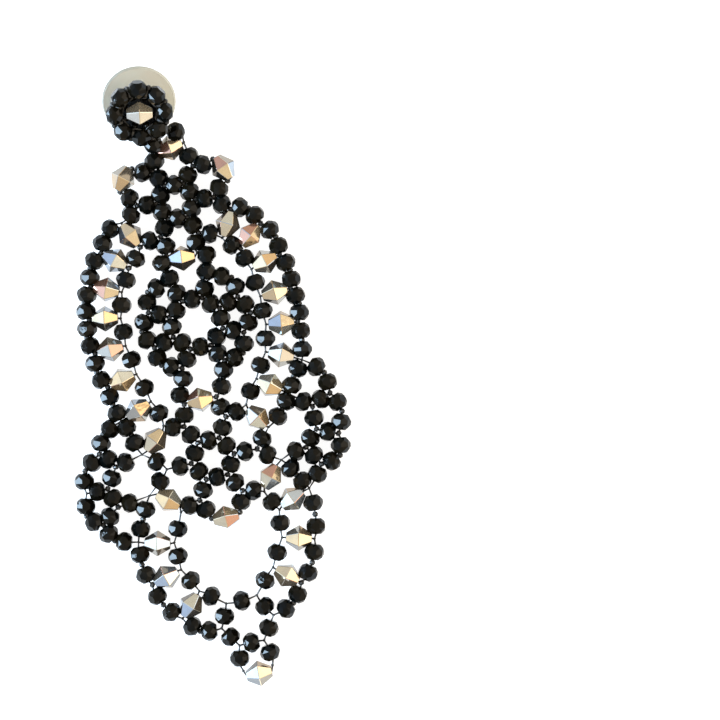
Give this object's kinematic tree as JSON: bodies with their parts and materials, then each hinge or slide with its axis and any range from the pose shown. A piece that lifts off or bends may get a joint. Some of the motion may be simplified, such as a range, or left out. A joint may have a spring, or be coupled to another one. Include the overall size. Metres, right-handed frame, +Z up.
{
  "type": "chandelier earring",
  "caption": "Bead-woven chandelier earring of black faceted glass beads and silver bicone stones, with an ear post and a clear clutch disc, lying flat.",
  "frame": {"origin": "on the table, under the middle of the earring's bounding box", "axes": "+Y from the pointed drop to the ear post, +Z up from the table, +X to the right as seen from above"},
  "size_m": [0.0454, 0.1002, 0.0114],
  "materials": {
    "black_glass": "opaque black faceted glass, very glossy",
    "silvered_glass": "clear cut glass, half coated in warm silver",
    "clear_plastic": "milky clear soft plastic",
    "post_steel": "plain steel"
  },
  "bodies": {
    "root": {"flower_beads": "black_glass", "rosette_upper_beads": "black_glass", "medallion_beads": "black_glass", "rosette_lower_beads": "black_glass", "garland_left_beads": "black_glass", "garland_right_beads": "black_glass", "wing_left_beads": "black_glass", "wing_right_beads": "black_glass", "swag_left_beads": "black_glass", "swag_right_beads": "black_glass", "point_beads": "black_glass", "stone_upper_0": "silvered_glass", "stone_upper_1": "silvered_glass", "stone_upper_2": "silvered_glass", "stone_upper_3": "silvered_glass", "stone_upper_4": "silvered_glass", "stone_upper_5": "silvered_glass", "stone_lower_0": "silvered_glass", "stone_lower_1": "silvered_glass", "stone_lower_2": "silvered_glass", "stone_lower_3": "silvered_glass", "stone_lower_4": "silvered_glass", "stone_lower_5": "silvered_glass", "stone_garland_left_1": "silvered_glass", "stone_garland_left_2": "silvered_glass", "stone_garland_left_3": "silvered_glass", "stone_garland_left_4": "silvered_glass", "stone_garland_left_5": "silvered_glass", "stone_garland_left_6": "silvered_glass", "stone_garland_right_1": "silvered_glass", "stone_garland_right_2": "silvered_glass", "stone_garland_right_3": "silvered_glass", "stone_garland_right_4": "silvered_glass", "stone_garland_right_5": "silvered_glass", "stone_garland_right_6": "silvered_glass", "stone_swag_left_1": "silvered_glass", "stone_swag_left_2": "silvered_glass", "stone_swag_left_3": "silvered_glass", "stone_swag_right_1": "silvered_glass", "stone_swag_right_2": "silvered_glass", "stone_swag_right_3": "silvered_glass", "stone_tip": "silvered_glass", "flower_stone": "silvered_glass", "ear_post": "post_steel", "clutch_disc": "clear_plastic"}
  },
  "joints": []
}
